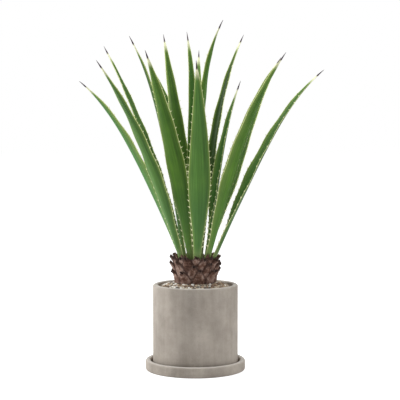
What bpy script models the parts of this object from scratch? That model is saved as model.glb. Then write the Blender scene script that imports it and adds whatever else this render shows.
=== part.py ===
"""Potted agave: a rosette of toothed leaves on a stem clad in old leaf bases, in a round pot on a saucer.

Metres, +Z up. The ground is z = 0 and the pot's axis is the Z axis. The front of the plant faces -Y.
Azimuths are in degrees from +X towards +Y, and a lean is measured from the vertical.
"""

import math
from typing import NamedTuple

import bmesh
import bpy
from mathutils import Vector

# Fits
GAP = 0.0003  # clearance between pieces that touch

# Saucer
SAUCER_CLEARANCE = 0.0055  # between the pot and the saucer's wall
SAUCER_HEIGHT = 0.026
SAUCER_WALL = 0.013
SAUCER_FLOOR = 0.010
SAUCER_EDGE = 0.004  # rounding of the wall's edges

# Pot
POT_DIAMETER = 0.215
POT_HEIGHT = 0.206
POT_WALL = 0.014
POT_FLOOR = 0.016
POT_EDGE = 0.004  # rounding of the rim and of the foot

# Filling
SOIL_DROP = 0.034  # from the rim down to the soil
GRAVEL_DROP = 0.009  # from the rim down to the pebbles at the wall
GRAVEL_RISE = 0.005  # from the rim up to the pebbles at the stem

# Stem
STEM_DIAMETER = 0.096
STEM_SHOWN = 0.060  # from the pebbles up to the feet of the leaves
STEM_BURIED = 0.080  # from the top of the pebbles down to the stem's lower end

# Old leaf bases
SCALE_ROWS = 4
SCALES_IN_ROW = 9
SCALE_LENGTH = 0.024
SCALE_THICKNESS = 0.005
SCALE_SPACING = 0.0035  # between two feet in a row
SCALE_TIP_WIDTH = 0.013
SCALE_LEAN_FOOT = 18
SCALE_LEAN_TIP = 58

# Leaves
LEAF_FOOT_THICKNESS = 0.0065
LEAF_THICKNESS = 0.0042
NECK_THICKNESS = 0.0026
SPINE_LENGTH = 0.018
SPINE_DIAMETER = 0.0030
WIDEST_AT = 0.40  # share of a leaf's length

# Colours
CEMENT = (0.42, 0.38, 0.34)
SOIL = (0.06, 0.045, 0.035)
PEBBLE = (0.48, 0.41, 0.32)
BARK = (0.11, 0.07, 0.055)
LEAF_GREEN = (0.09, 0.19, 0.05)

# Levels and radii that follow from the sizes above
POT_RADIUS = POT_DIAMETER / 2
SAUCER_RADIUS = POT_RADIUS + SAUCER_CLEARANCE + SAUCER_WALL
BORE_RADIUS = POT_RADIUS - POT_WALL
FILL_RADIUS = BORE_RADIUS - GAP
STEM_RADIUS = STEM_DIAMETER / 2
POT_FOOT = SAUCER_FLOOR + GAP
RIM = POT_FOOT + POT_HEIGHT
SOIL_FOOT = POT_FOOT + POT_FLOOR + GAP
SOIL_TOP = RIM - SOIL_DROP
GRAVEL_TOP = RIM + GRAVEL_RISE
STEM_TOP = GRAVEL_TOP + STEM_SHOWN
STEM_FOOT = GRAVEL_TOP - STEM_BURIED

# A ring of leaves: the radius that their feet stand on and each foot's width, as shares of STEM_RADIUS.
RINGS = {
    "edge": (0.97, 0.42),
    "outer": (0.875, 0.42),
    "middle": (0.60, 0.375),
    "inner": (0.34, 0.35),
    "heart": (0.15, 0.31),
}

MIDRIB_STEPS = 120
LEAF_STATIONS = (*range(0, 113, 8), 116, 120)
SCALE_STATIONS = (0, 40, 80, 120)


class Blade(NamedTuple):
    """A leaf: where its foot stands, the way it heads and bends, and how broad it is."""

    ring: str
    seat: float  # azimuth of the foot
    heading: float  # azimuth that it leans towards at the foot
    swing: float  # how far the heading turns by the tip
    length: float
    lean_foot: float
    lean_tip: float
    curl: float  # the higher, the nearer the tip it bends
    width: float
    fold: float  # how far each half is raised from flat
    twist: float  # how far the blade has turned about its own length by its widest place


LEAVES = (
    Blade("outer", 276, 276, -12, 0.545, 24, 36, 2.0, 0.055, 12, 0),
    Blade("outer", 318, 318, 0, 0.565, 20, 44, 3.0, 0.052, 20, 0),
    Blade("edge", 350, 350, 0, 0.550, 25, 52, 4.0, 0.050, 24, 18),
    Blade("outer", 42, 42, 0, 0.585, 22, 43, 3.0, 0.050, 20, 0),
    Blade("outer", 102, 103, 40, 0.545, 16, 38, 2.5, 0.044, 20, 0),
    Blade("outer", 150, 158, 25, 0.525, 25.5, 52, 4.0, 0.046, 26, 0),
    Blade("outer", 214, 224, 0, 0.560, 22, 44, 2.0, 0.047, 10, 0),
    Blade("middle", 244, 244, 8, 0.580, 18, 46, 1.6, 0.052, 16, 0),
    Blade("middle", 200, 200, 0, 0.575, 10, 31, 3.5, 0.046, 20, 0),
    Blade("middle", 158, 155, 0, 0.590, 20.5, 32, 3.0, 0.044, 14, 0),
    Blade("middle", 88, 88, 0, 0.585, 18, 31, 2.0, 0.044, 20, 0),
    Blade("middle", 354, 343, 0, 0.455, 8.5, 22, 4.0, 0.042, 30, 44),
    Blade("inner", 34, 38, 0, 0.590, 8, 32, 3.0, 0.040, 20, 0),
    Blade("inner", 118, 120, -8, 0.605, 14, 24, 2.0, 0.048, 16, 0),
    Blade("heart", 180, 72, 48, 0.580, 4, 17, 3.0, 0.036, 20, 0),
    Blade("heart", 0, 346, 0, 0.605, 1.5, 30, 5.0, 0.048, 20, -20),
)


def clear_scene():
    for obj in list(bpy.data.objects):
        bpy.data.objects.remove(obj, do_unlink=True)


def material(name, colour, roughness):
    made = bpy.data.materials.new(name)
    made.use_nodes = True
    shader = made.node_tree.nodes["Principled BSDF"]
    shader.inputs["Base Color"].default_value = (*colour, 1)
    shader.inputs["Roughness"].default_value = roughness
    shader.inputs["Metallic"].default_value = 0
    return made


def add_object(name, mesh, look, collection, parent):
    obj = bpy.data.objects.new(name, mesh)
    obj.data.materials.append(look)
    obj.parent = parent
    collection.objects.link(obj)
    return obj


def rounded(corner, start, end, radius, steps=3):
    """Points of an arc that rounds the corner between two straight runs at right angles."""
    corner = Vector(corner)
    towards_start = (Vector(start) - corner).normalized()
    towards_end = (Vector(end) - corner).normalized()
    centre = corner + (towards_start + towards_end) * radius
    points = []
    for step in range(steps + 1):
        angle = math.pi / 2 * step / steps
        points.append(centre - (towards_end * math.cos(angle) + towards_start * math.sin(angle)) * radius)
    return [tuple(point) for point in points]


def turned(name, profile, steps, look, collection, parent):
    """A turned solid from half its profile, as (radius, height) points from the foot up the outside."""
    mesh = bpy.data.meshes.new(name)
    points = [(radius, 0, height) for radius, height in profile]
    closed = profile[0][0] > 0
    edges = [(i, i + 1) for i in range(len(points) - 1)]
    if closed:
        edges.append((len(points) - 1, 0))
    mesh.from_pydata(points, edges, [])
    obj = add_object(name, mesh, look, collection, parent)
    screw = obj.modifiers.new("turn", "SCREW")
    screw.axis = "Z"
    screw.angle = math.tau
    screw.steps = steps
    screw.render_steps = steps
    screw.use_merge_vertices = True
    screw.merge_threshold = 0.00005
    screw.use_normal_flip = True
    return obj


def make_saucer(look, collection, parent):
    outer, inner = SAUCER_RADIUS, SAUCER_RADIUS - SAUCER_WALL
    floor, top = SAUCER_FLOOR, SAUCER_HEIGHT
    profile = [
        (0, 0),
        *rounded((outer, 0), (0, 0), (outer, top), SAUCER_EDGE),
        *rounded((outer, top), (outer, 0), (inner, top), SAUCER_EDGE),
        *rounded((inner, top), (outer, top), (inner, floor), SAUCER_EDGE),
        (inner, floor),
        (0, floor),
    ]
    return turned("saucer", profile, 64, look, collection, parent)


def make_pot(look, collection, parent):
    outer, inner = POT_RADIUS, BORE_RADIUS
    foot, top = POT_FOOT, RIM
    profile = [
        (0, foot),
        *rounded((outer, foot), (0, foot), (outer, top), POT_EDGE),
        *rounded((outer, top), (outer, foot), (inner, top), POT_EDGE),
        *rounded((inner, top), (outer, top), (inner, foot), POT_EDGE),
        (inner, foot + POT_FLOOR),
        (0, foot + POT_FLOOR),
    ]
    return turned("pot", profile, 64, look, collection, parent)


def make_soil(look, collection, parent):
    hole = STEM_RADIUS + GAP
    hole_foot = STEM_FOOT - GAP
    profile = [
        (0, SOIL_FOOT),
        (FILL_RADIUS, SOIL_FOOT),
        (FILL_RADIUS, SOIL_TOP),
        (hole, SOIL_TOP),
        (hole, hole_foot),
        (0, hole_foot),
    ]
    return turned("soil", profile, 48, look, collection, parent)


def make_gravel(look, collection, parent):
    hole = STEM_RADIUS + GAP
    foot = SOIL_TOP + GAP
    wall_level = RIM - GRAVEL_DROP
    profile = [(hole, foot), (FILL_RADIUS, foot), (FILL_RADIUS, wall_level)]
    for share in (0.3, 0.7):
        radius = FILL_RADIUS + (hole - FILL_RADIUS) * share
        level = wall_level + (GRAVEL_TOP - wall_level) * math.sin(share * math.pi / 2)
        profile.append((radius, level))
    profile.append((hole, GRAVEL_TOP))
    return turned("gravel", profile, 48, look, collection, parent)


def make_stem(look, collection, parent):
    taper = STEM_RADIUS * 0.7
    profile = [
        (0, STEM_FOOT),
        (taper, STEM_FOOT),
        (STEM_RADIUS, STEM_FOOT + STEM_BURIED / 4),
        (STEM_RADIUS, STEM_TOP),
        (0, STEM_TOP),
    ]
    return turned("stem", profile, 48, look, collection, parent)


def heading_vectors(azimuth, lean):
    """The way that a midrib runs, the way across it, and the way that its inner face looks."""
    turn, tilt = math.radians(azimuth), math.radians(lean)
    outward = Vector((math.cos(turn), math.sin(turn), 0))
    along = outward * math.sin(tilt) + Vector((0, 0, math.cos(tilt)))
    across = Vector((-math.sin(turn), math.cos(turn), 0))
    return along, across, along.cross(across)


def midrib(foot, heading, swing, length, lean_foot, lean_tip, curl):
    """(share, point, along, across, inward) at each step of a blade's length."""
    step = length / MIDRIB_STEPS
    point = Vector(foot)
    frames = []
    for count in range(MIDRIB_STEPS + 1):
        share = count / MIDRIB_STEPS
        lean = lean_foot + (lean_tip - lean_foot) * share**curl
        along, across, inward = heading_vectors(heading + swing * share, lean)
        frames.append((share, point.copy(), along, across, inward))
        point += along * step
    return frames


def twisted(frame, turn):
    """The same place on a midrib, with the blade turned about its own length."""
    share, point, along, across, inward = frame
    angle = math.radians(turn)
    return (
        share,
        point,
        along,
        across * math.cos(angle) + inward * math.sin(angle),
        inward * math.cos(angle) - across * math.sin(angle),
    )


def section(frame, width, thickness, fold, inner_share):
    """Eight points round a blade: a channelled inner face, a rounded outer face and thin margins."""
    _, middle, _, across, inward = frame
    half, raised = width / 2, math.radians(fold)
    ring = []
    for place, side in ((-1, 0), (-0.5, 1), (0, 1), (0.5, 1), (1, 0), (0.5, -1), (0, -1), (-0.5, -1)):
        height = half * math.sin(raised) * abs(place) ** 1.5
        body = thickness * (1 - place**2)
        height += body * inner_share if side > 0 else 0
        height -= body * (1 - inner_share) if side < 0 else 0
        ring.append(middle + across * half * math.cos(raised) * place + inward * height)
    return ring


def cut_level(ring, along, level):
    """Slides a ring's points along the blade on to a level plane, as a foot cut flush with its seat."""
    return [point + along * ((level - point.z) / along.z) for point in ring]


def loft(name, rings, look, collection, parent):
    """A closed solid through rings of points, all with the same count and wound the same way."""
    mesh = bpy.data.meshes.new(name)
    build = bmesh.new()
    rows = [[build.verts.new(point) for point in ring] for ring in rings]
    for lower, upper in zip(rows, rows[1:]):
        for i, vertex in enumerate(lower):
            following = (i + 1) % len(lower)
            build.faces.new((vertex, lower[following], upper[following], upper[i]))
    build.faces.new(rows[0])
    build.faces.new(rows[-1])
    bmesh.ops.recalc_face_normals(build, faces=build.faces)
    build.to_mesh(mesh)
    build.free()
    return add_object(name, mesh, look, collection, parent)


def leaf_width(blade, foot_width, share):
    """Widens from the foot to the widest place, then narrows to the spine."""
    spine_from = 1 - SPINE_LENGTH / blade.length
    if share <= WIDEST_AT:
        return foot_width + (blade.width - foot_width) * math.sin(math.pi / 2 * share / WIDEST_AT) ** 2
    if share < spine_from:
        done = (share - WIDEST_AT) / (spine_from - WIDEST_AT)
        return SPINE_DIAMETER + (blade.width - SPINE_DIAMETER) * (1 - done**1.35) ** 0.9
    return SPINE_DIAMETER * (1 - 0.85 * (share - spine_from) / (1 - spine_from))


def leaf_thickness(blade, share):
    spine_from = 1 - SPINE_LENGTH / blade.length
    if share >= spine_from:
        return leaf_width(blade, 0, share)
    swell = max(0, 1 - share / 0.25) ** 2
    body = LEAF_THICKNESS + (NECK_THICKNESS - LEAF_THICKNESS) * share / spine_from
    return body + (LEAF_FOOT_THICKNESS - LEAF_THICKNESS) * swell


def make_leaf(name, blade, look, collection, parent):
    radius_share, width_share = RINGS[blade.ring]
    radius, foot_width = radius_share * STEM_RADIUS, width_share * STEM_RADIUS
    seat = math.radians(blade.seat)
    level = STEM_TOP + GAP
    foot = (radius * math.cos(seat), radius * math.sin(seat), level)
    bend = (blade.heading, blade.swing, blade.length, blade.lean_foot, blade.lean_tip, blade.curl)
    frames = midrib(foot, *bend)
    rings = []
    for station in LEAF_STATIONS:
        share = frames[station][0]
        width, thickness = leaf_width(blade, foot_width, share), leaf_thickness(blade, share)
        fold = blade.fold * (1 - share**8)
        turn = blade.twist * math.sin(math.pi / 2 * min(1, share / WIDEST_AT)) ** 2
        frame = twisted(frames[station], turn)
        rings.append(section(frame, width, thickness, fold, 0.15 + 0.35 * share**6))
    rings[0] = cut_level(rings[0], frames[0][2], level)
    return loft(name, rings, look, collection, parent)


def make_leaf_base(name, row, place, look, collection, parent):
    """One old leaf base: a plate that hugs the stem at its foot and flares to a blunt, cut tip."""
    pitch = 360 / SCALES_IN_ROW
    azimuth = (place + 0.5 * (row % 2) + 0.12 * row) * pitch
    uneven = math.sin(2.4 * (row * SCALES_IN_ROW + place))
    level = GRAVEL_TOP + GAP + row * STEM_SHOWN / SCALE_ROWS
    hug = STEM_RADIUS + GAP + SCALE_THICKNESS / 2
    foot_width = math.radians(pitch) * hug - SCALE_SPACING
    turn = math.radians(azimuth)
    foot = (hug * math.cos(turn), hug * math.sin(turn), level)
    length = SCALE_LENGTH * (1 + 0.08 * uneven)
    frames = midrib(foot, azimuth, 0, length, SCALE_LEAN_FOOT, SCALE_LEAN_TIP + 5 * uneven, 1.0)
    hug_fold = math.degrees(foot_width / 4 / hug)
    rings = []
    for station in SCALE_STATIONS:
        share = frames[station][0]
        width = foot_width + (SCALE_TIP_WIDTH - foot_width) * share**1.6
        rings.append(section(frames[station], width, SCALE_THICKNESS, hug_fold, 0.5))
    rings[0] = cut_level(rings[0], frames[0][2], level)
    return loft(name, rings, look, collection, parent)


def build():
    clear_scene()
    collection = bpy.data.collections.new("potted_agave")
    bpy.context.scene.collection.children.link(collection)
    root = bpy.data.objects.new("potted_agave_origin", None)
    collection.objects.link(root)

    cement = material("cement", CEMENT, 0.85)
    soil = material("soil", SOIL, 0.95)
    pebble = material("pebble", PEBBLE, 0.7)
    bark = material("bark", BARK, 0.85)
    green = material("leaf", LEAF_GREEN, 0.5)

    make_saucer(cement, collection, root)
    make_pot(cement, collection, root)
    make_soil(soil, collection, root)
    make_gravel(pebble, collection, root)
    make_stem(bark, collection, root)
    for row in range(SCALE_ROWS):
        for place in range(SCALES_IN_ROW):
            number = row * SCALES_IN_ROW + place + 1
            make_leaf_base(f"leaf_base_{number:02d}", row, place, bark, collection, root)
    for number, blade in enumerate(LEAVES, 1):
        make_leaf(f"leaf_{number:02d}", blade, green, collection, root)


build()
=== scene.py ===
"""Potted agave: a rosette of toothed leaves on a stem clad in old leaf bases, in a cast pot on a saucer.

Metres, +Z up. The ground is z = 0, the pot's axis is the Z axis, and the front of the plant faces -Y.
"""

import math

import bmesh
import bpy
import numpy as np
from mathutils import Matrix, Vector


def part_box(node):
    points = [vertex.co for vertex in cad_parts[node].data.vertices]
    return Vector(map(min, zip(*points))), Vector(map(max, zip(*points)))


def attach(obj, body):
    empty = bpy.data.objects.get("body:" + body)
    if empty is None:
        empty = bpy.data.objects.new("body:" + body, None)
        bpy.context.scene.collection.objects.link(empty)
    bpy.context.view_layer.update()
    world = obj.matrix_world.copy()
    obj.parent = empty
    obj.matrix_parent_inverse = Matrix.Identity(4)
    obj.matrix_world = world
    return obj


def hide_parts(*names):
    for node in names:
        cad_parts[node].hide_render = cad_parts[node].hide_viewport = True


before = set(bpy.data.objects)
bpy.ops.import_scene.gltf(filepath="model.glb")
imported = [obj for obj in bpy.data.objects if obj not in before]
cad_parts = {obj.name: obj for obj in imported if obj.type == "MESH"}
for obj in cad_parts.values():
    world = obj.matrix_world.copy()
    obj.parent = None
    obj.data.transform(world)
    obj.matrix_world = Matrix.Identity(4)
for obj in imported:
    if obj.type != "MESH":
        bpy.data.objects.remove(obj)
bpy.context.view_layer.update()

# ------------------------------------------------------------------------------------------------
# Saucer and pot
# Both are cast in the same fibre cement, a grey-beige mix of cement, sand and glass fibre, and are
# sanded smooth after casting. The pot's wall is straight and thin, and it stands loose in the saucer.
# ------------------------------------------------------------------------------------------------
ROUND_STEPS = 160
ROUND_OVER_STEPS = 5
SAME_PLACE = 1e-4  # corners closer than this to a circle or a level are on it
CEMENT_PALE = (0.445, 0.397, 0.346, 1)
CEMENT_DEEP = (0.315, 0.277, 0.237, 1)
# painted highlight: the pale cement laid on the top face of each casting's rim
CEMENT_RIM_HIGHLIGHT = (0.60, 0.575, 0.535, 1)
PINHOLE_DARK = (0.16, 0.14, 0.12, 1)
RIM_HIGHLIGHT_BAND = 0.0028  # how far the painted highlight on the rim reaches down from the top
CORNER_ANGLE = 50  # degrees, past which a casting's edge stays sharp
NOISE_SPREAD = (0.3, 0.7)  # nearly all of a noise's values lie between these


def select_only(obj):
    bpy.ops.object.select_all(action="DESELECT")
    obj.select_set(True)
    bpy.context.view_layer.objects.active = obj


def start_with(primitive, **settings):
    """Adds a primitive with nothing else selected, and gives it back."""
    bpy.ops.object.select_all(action="DESELECT")
    primitive(**settings)
    return bpy.context.object


def select_where(obj, kind, wanted):
    """In edit mode, selects the faces or edges that wanted says yes to, and nothing else."""
    mesh = bmesh.from_edit_mesh(obj.data)
    for part in (*mesh.verts, *mesh.edges, *mesh.faces):
        part.select = False
    for part in getattr(mesh, kind):
        if wanted(part):
            part.select_set(True)
    bmesh.update_edit_mesh(obj.data)


def is_round_edge_at(edge, radius, level):
    """Whether both ends of an edge lie on the circle of that radius at that height."""
    for vertex in edge.verts:
        off_circle = abs(math.hypot(vertex.co.x, vertex.co.y) - radius) > SAME_PLACE
        if off_circle or abs(vertex.co.z - level) > SAME_PLACE:
            return False
    return True


def settle(obj):
    """Puts an object's place, turn and scale into its mesh."""
    select_only(obj)
    bpy.ops.object.transform_apply(location=True, rotation=True, scale=True)


def apply_modifiers(obj):
    select_only(obj)
    for modifier in list(obj.modifiers):
        bpy.ops.object.modifier_apply(modifier=modifier.name)


def cast_cup(name, node, wall, floor, round_over, courses):
    """A cylinder with its top inset by the wall and pushed down to the floor, and its edges rounded."""
    low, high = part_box(node)
    radius, foot, rim = (high[0] - low[0]) / 2, low[2], high[2]
    long_edge = (rim - foot) * 0.3  # only the walls' upright edges are longer than this
    middle = (0, 0, (foot + rim) / 2)
    cylinder = bpy.ops.mesh.primitive_cylinder_add
    cup = start_with(cylinder, vertices=ROUND_STEPS, radius=radius, depth=rim - foot, location=middle)
    cup.name = name
    settle(cup)
    bpy.ops.object.mode_set(mode="EDIT")
    bpy.ops.mesh.select_mode(type="FACE")
    select_where(cup, "faces", lambda face: face.normal.z > 0.9)
    bpy.ops.mesh.inset(thickness=wall)
    bpy.ops.mesh.extrude_region_move(TRANSFORM_OT_translate={"value": (0, 0, foot + floor - rim)})
    bpy.ops.mesh.inset(thickness=(radius - wall) / 2)
    bpy.ops.mesh.select_mode(type="EDGE")
    corners = ((radius, foot), (radius, rim), (radius - wall, rim), (radius - wall, foot + floor))
    select_where(cup, "edges", lambda edge: any(is_round_edge_at(edge, *corner) for corner in corners))
    bpy.ops.mesh.bevel(offset=round_over, segments=ROUND_OVER_STEPS, affect="EDGES")
    select_where(cup, "edges", lambda edge: abs(edge.verts[0].co.z - edge.verts[1].co.z) > long_edge)
    bpy.ops.mesh.subdivide(number_cuts=courses)
    bpy.ops.object.mode_set(mode="OBJECT")
    bpy.ops.object.shade_smooth_by_angle(angle=math.radians(CORNER_ANGLE))
    return cup


def cloud_of(name, size):
    cloud = bpy.data.textures.new(name, "CLOUDS")
    cloud.noise_scale = size
    return cloud


def add_lumps(obj, cloud, depth, coordinates="GLOBAL"):
    """Pushes the surface in and out by a cloud. It isn't applied yet."""
    lumps = obj.modifiers.new("lumps", "DISPLACE")
    lumps.texture = cloud
    lumps.texture_coords = coordinates
    lumps.strength = depth


def uneven(obj, name, size, depth):
    """A slight unevenness of the surface, as a sanded casting has."""
    add_lumps(obj, cloud_of(name, size), depth, "LOCAL")
    apply_modifiers(obj)


saucer = cast_cup("saucer_cast", "saucer", wall=0.013, floor=0.010, round_over=0.0042, courses=2)
pot = cast_cup("pot_cast", "pot", wall=0.014, floor=0.016, round_over=0.0045, courses=16)
uneven(saucer, "saucer_unevenness", 0.05, 0.0005)
uneven(pot, "pot_unevenness", 0.06, 0.0006)


def corners_of(mesh):
    points = np.empty(len(mesh.vertices) * 3)
    mesh.vertices.foreach_get("co", points)
    return points.reshape(-1, 3)


def mark(mesh, name, values):
    """Stores one number a vertex, for the material to read."""
    made = mesh.attributes.new(name, "FLOAT", "POINT")
    made.data.foreach_set("value", np.ascontiguousarray(values, dtype=np.float32))


def mark_rim_highlight(obj):
    """The painted highlight: 1 on the casting's top face, where the light from above falls, and 0 a little
    below.
    """
    heights = corners_of(obj.data)[:, 2]
    mark(obj.data, "rim_highlight", np.clip((heights - heights.max() + RIM_HIGHLIGHT_BAND) / RIM_HIGHLIGHT_BAND, 0, 1))


def finish_with(obj, material):
    """Gives the whole piece one finish."""
    obj.data.materials.clear()
    obj.data.materials.append(material)


def new_material(name):
    """(material, its nodes, its links, its Principled shader)"""
    made = bpy.data.materials.new(name)
    made.use_nodes = True
    tree = made.node_tree
    return made, tree.nodes, tree.links, tree.nodes["Principled BSDF"]


def add_node(nodes, kind, **settings):
    """A node with those settings, each of them one of its sockets or one of its own properties."""
    node = nodes.new(kind)
    for setting, value in settings.items():
        if setting in node.inputs:
            node.inputs[setting].default_value = value
        else:
            setattr(node, setting, value)
    return node


def ramp(nodes, *stops):
    """A colour ramp with those (position, colour) stops."""
    node = nodes.new("ShaderNodeValToRGB")
    elements = node.color_ramp.elements
    while len(elements) < len(stops):
        elements.new(0.5)
    for element, (position, colour) in zip(elements, stops):
        element.position = position
        element.color = colour
    return node


def feed(links, socket, value):
    """Links a socket to value, which is another socket, or sets it to value, which is a plain one."""
    if isinstance(value, bpy.types.NodeSocket):
        links.new(value, socket)
    else:
        socket.default_value = value


def mixed(nodes, links, factor, below, above, blend="MIX"):
    """The colour socket of a mix of two colours. Each argument is a socket or a plain value."""
    node = nodes.new("ShaderNodeMix")
    node.data_type = "RGBA"
    node.blend_type = blend
    feed(links, node.inputs[0], factor)
    feed(links, node.inputs[6], below)
    feed(links, node.inputs[7], above)
    return node.outputs[2]


def stretched(nodes, links, source, scale):
    """The places of source, multiplied by scale, so that a pattern on them runs finer or coarser that way."""
    node = nodes.new("ShaderNodeMapping")
    node.inputs["Scale"].default_value = scale
    links.new(source, node.inputs["Vector"])
    return node.outputs["Vector"]


def noise(nodes, links, vector, scale, detail=4.0, roughness=0.55):
    node = add_node(nodes, "ShaderNodeTexNoise", Scale=scale, Detail=detail, Roughness=roughness)
    links.new(vector, node.inputs["Vector"])
    return node.outputs["Fac"]


def remapped(nodes, links, value, low, high, out_low=0.0, out_high=1.0):
    """value from low to high, smoothly turned into out_low to out_high."""
    node = add_node(nodes, "ShaderNodeMapRange", interpolation_type="SMOOTHSTEP")
    links.new(value, node.inputs["Value"])
    limits = {"From Min": low, "From Max": high, "To Min": out_low, "To Max": out_high}
    for socket, limit in limits.items():
        node.inputs[socket].default_value = limit
    return node.outputs["Result"]


def joined(nodes, links, operation, first, second):
    """A Math node's result. Each argument is a socket or a number."""
    node = add_node(nodes, "ShaderNodeMath", operation=operation)
    for socket, value in zip(node.inputs, (first, second)):
        feed(links, socket, value)
    return node.outputs[0]


def bump(nodes, links, shader, height, strength, distance):
    """Gives the shader a relief that stands as high as height times distance."""
    node = add_node(nodes, "ShaderNodeBump", Strength=strength, Distance=distance)
    links.new(height, node.inputs["Height"])
    links.new(node.outputs["Normal"], shader.inputs["Normal"])


def mottle_group():
    """The group that breaks a colour up by a noise, which comes out as Grain as well."""
    tree = bpy.data.node_groups.new("mottle", "ShaderNodeTree")
    taken = {"Colour": "Color", "Place": "Vector"}
    taken |= dict.fromkeys(("Scale", "Detail", "Darkest", "Lightest"), "Float")
    for name, kind in taken.items():
        tree.interface.new_socket(name=name, in_out="INPUT", socket_type="NodeSocket" + kind)
    for name, kind in (("Colour", "Color"), ("Grain", "Float")):
        tree.interface.new_socket(name=name, in_out="OUTPUT", socket_type="NodeSocket" + kind)
    given = tree.nodes.new("NodeGroupInput").outputs
    put_out = tree.nodes.new("NodeGroupOutput").inputs
    grain = add_node(tree.nodes, "ShaderNodeTexNoise", Roughness=0.6)
    level = add_node(tree.nodes, "ShaderNodeMapRange", interpolation_type="SMOOTHSTEP")
    level.inputs["From Min"].default_value, level.inputs["From Max"].default_value = NOISE_SPREAD
    toned = add_node(tree.nodes, "ShaderNodeVectorMath", operation="SCALE")
    for source, socket in (
        (given["Place"], grain.inputs["Vector"]),
        (given["Scale"], grain.inputs["Scale"]),
        (given["Detail"], grain.inputs["Detail"]),
        (grain.outputs["Fac"], level.inputs["Value"]),
        (given["Darkest"], level.inputs["To Min"]),
        (given["Lightest"], level.inputs["To Max"]),
        (given["Colour"], toned.inputs[0]),
        (level.outputs["Result"], toned.inputs["Scale"]),
        (toned.outputs["Vector"], put_out["Colour"]),
        (grain.outputs["Fac"], put_out["Grain"]),
    ):
        tree.links.new(source, socket)
    return tree


def mottled(nodes, links, colour, place, scale, darkest, lightest, detail=4.0):
    """colour put through the mottle group: (the broken-up colour, the grain)."""
    node = nodes.new("ShaderNodeGroup")
    node.node_tree = mottle
    links.new(colour, node.inputs["Colour"])
    links.new(place, node.inputs["Place"])
    settings = {"Scale": scale, "Detail": detail, "Darkest": darkest, "Lightest": lightest}
    for socket, value in settings.items():
        node.inputs[socket].default_value = value
    return node.outputs["Colour"], node.outputs["Grain"]


def cement_material():
    """Soft clouds of two greys, faint upright drag marks, fine sand, a few pinholes and a painted highlight
    on the top face of the rim.
    """
    made, nodes, links, shader = new_material("fibre_cement")
    place = nodes.new("ShaderNodeTexCoord").outputs["Object"]
    clouds = noise(nodes, links, place, 16, 5, 0.62)
    body = ramp(nodes, *zip(NOISE_SPREAD, (CEMENT_DEEP, CEMENT_PALE)))
    links.new(clouds, body.inputs["Fac"])
    drag_marks = stretched(nodes, links, place, (55, 55, 7))
    broad_drags = stretched(nodes, links, place, (14, 14, 3))
    colour, _ = mottled(nodes, links, body.outputs["Color"], drag_marks, 1, 0.92, 1.05, 3)
    colour, _ = mottled(nodes, links, colour, broad_drags, 1, 0.94, 1.05, 2)
    colour, sand = mottled(nodes, links, colour, place, 900, 0.9, 1.06, 2)
    # painted highlight: the top face of the rim turns towards a paler cement
    edge = add_node(nodes, "ShaderNodeAttribute", attribute_name="rim_highlight").outputs["Fac"]
    rim_highlight = remapped(nodes, links, edge, 0.25, 0.95, 0, 0.62)
    colour = mixed(nodes, links, rim_highlight, colour, CEMENT_RIM_HIGHLIGHT)
    holes = add_node(nodes, "ShaderNodeTexVoronoi", Scale=140.0)
    links.new(place, holes.inputs["Vector"])
    hole = remapped(nodes, links, holes.outputs["Distance"], 0.05, 0.12, 1, 0)
    rare = remapped(nodes, links, noise(nodes, links, place, 60, 1), 0.58, 0.64)
    pinhole = joined(nodes, links, "MULTIPLY", hole, rare)
    colour = mixed(nodes, links, pinhole, colour, PINHOLE_DARK)
    links.new(colour, shader.inputs["Base Color"])
    links.new(remapped(nodes, links, clouds, *NOISE_SPREAD, 0.92, 0.78), shader.inputs["Roughness"])
    height = joined(nodes, links, "SUBTRACT", joined(nodes, links, "MULTIPLY", sand, 0.35), pinhole)
    bump(nodes, links, shader, height, 0.35, 0.0004)
    shader.inputs["Specular IOR Level"].default_value = 0.3
    return made


mottle = mottle_group()
cement = cement_material()
for cast, node in ((saucer, "saucer"), (pot, "pot")):
    mark_rim_highlight(cast)
    finish_with(cast, cement)
    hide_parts(node)
    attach(cast, "root")

# ------------------------------------------------------------------------------------------------
# Soil
# Moist potting mix fills the pot to a few centimetres under the rim and holds the stem. The pebbles
# cover it, so the frame's own solid carries the finish of dark, crumbly peat.
# ------------------------------------------------------------------------------------------------
PEAT_DARK = (0.018, 0.012, 0.008, 1)
PEAT_PALE = (0.085, 0.06, 0.042, 1)


def soil_material():
    """Crumbs of dark peat with paler ones among them, rough and dull."""
    made, nodes, links, shader = new_material("potting_mix")
    place = nodes.new("ShaderNodeTexCoord").outputs["Object"]
    crumbs = noise(nodes, links, place, 220, 6, 0.7)
    body = ramp(nodes, *zip(NOISE_SPREAD, (PEAT_DARK, PEAT_PALE)))
    links.new(crumbs, body.inputs["Fac"])
    links.new(body.outputs["Color"], shader.inputs["Base Color"])
    links.new(remapped(nodes, links, crumbs, *NOISE_SPREAD, 1.0, 0.8), shader.inputs["Roughness"])
    bump(nodes, links, shader, crumbs, 0.8, 0.002)
    return made


finish_with(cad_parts["soil"], soil_material())

# ------------------------------------------------------------------------------------------------
# Pebbles
# A top dressing of small, rounded river pebbles, cream, tan, brown and grey. They are poured round
# the stem and lie loose: a bed of the lower ones, packed close, with the top ones separate on it.
# ------------------------------------------------------------------------------------------------
PEBBLE_COUNT = 760
PEBBLE_RADII = (0.0030, 0.0050)
PEBBLE_SHAPES = 8
PEBBLE_WEAR = 0.55  # how far out of round, for a pebble of radius 1
PEBBLE_TILT = 0.45  # radians, the usual lean of a pebble that lies loose
PEBBLE_GROWTH = 1.12  # a pebble's long axis against the ball that holds its place
NEARNESS = 0.88  # worn pebbles nest closer than balls do
SETTLING_ROUNDS = 160
TOP_LAYER = 0.0075  # how deep the loose pebbles lie
BED_DROP = 0.0065  # from the pebbles' surface down to the bed
BED_THICKNESS = 0.008
BED_RINGS = 10
BED_STEPS = 96
GAP = 0.0003  # between pieces that touch
WALL_DROP = 0.009  # from the pot's rim down to the pebbles along its wall
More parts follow.
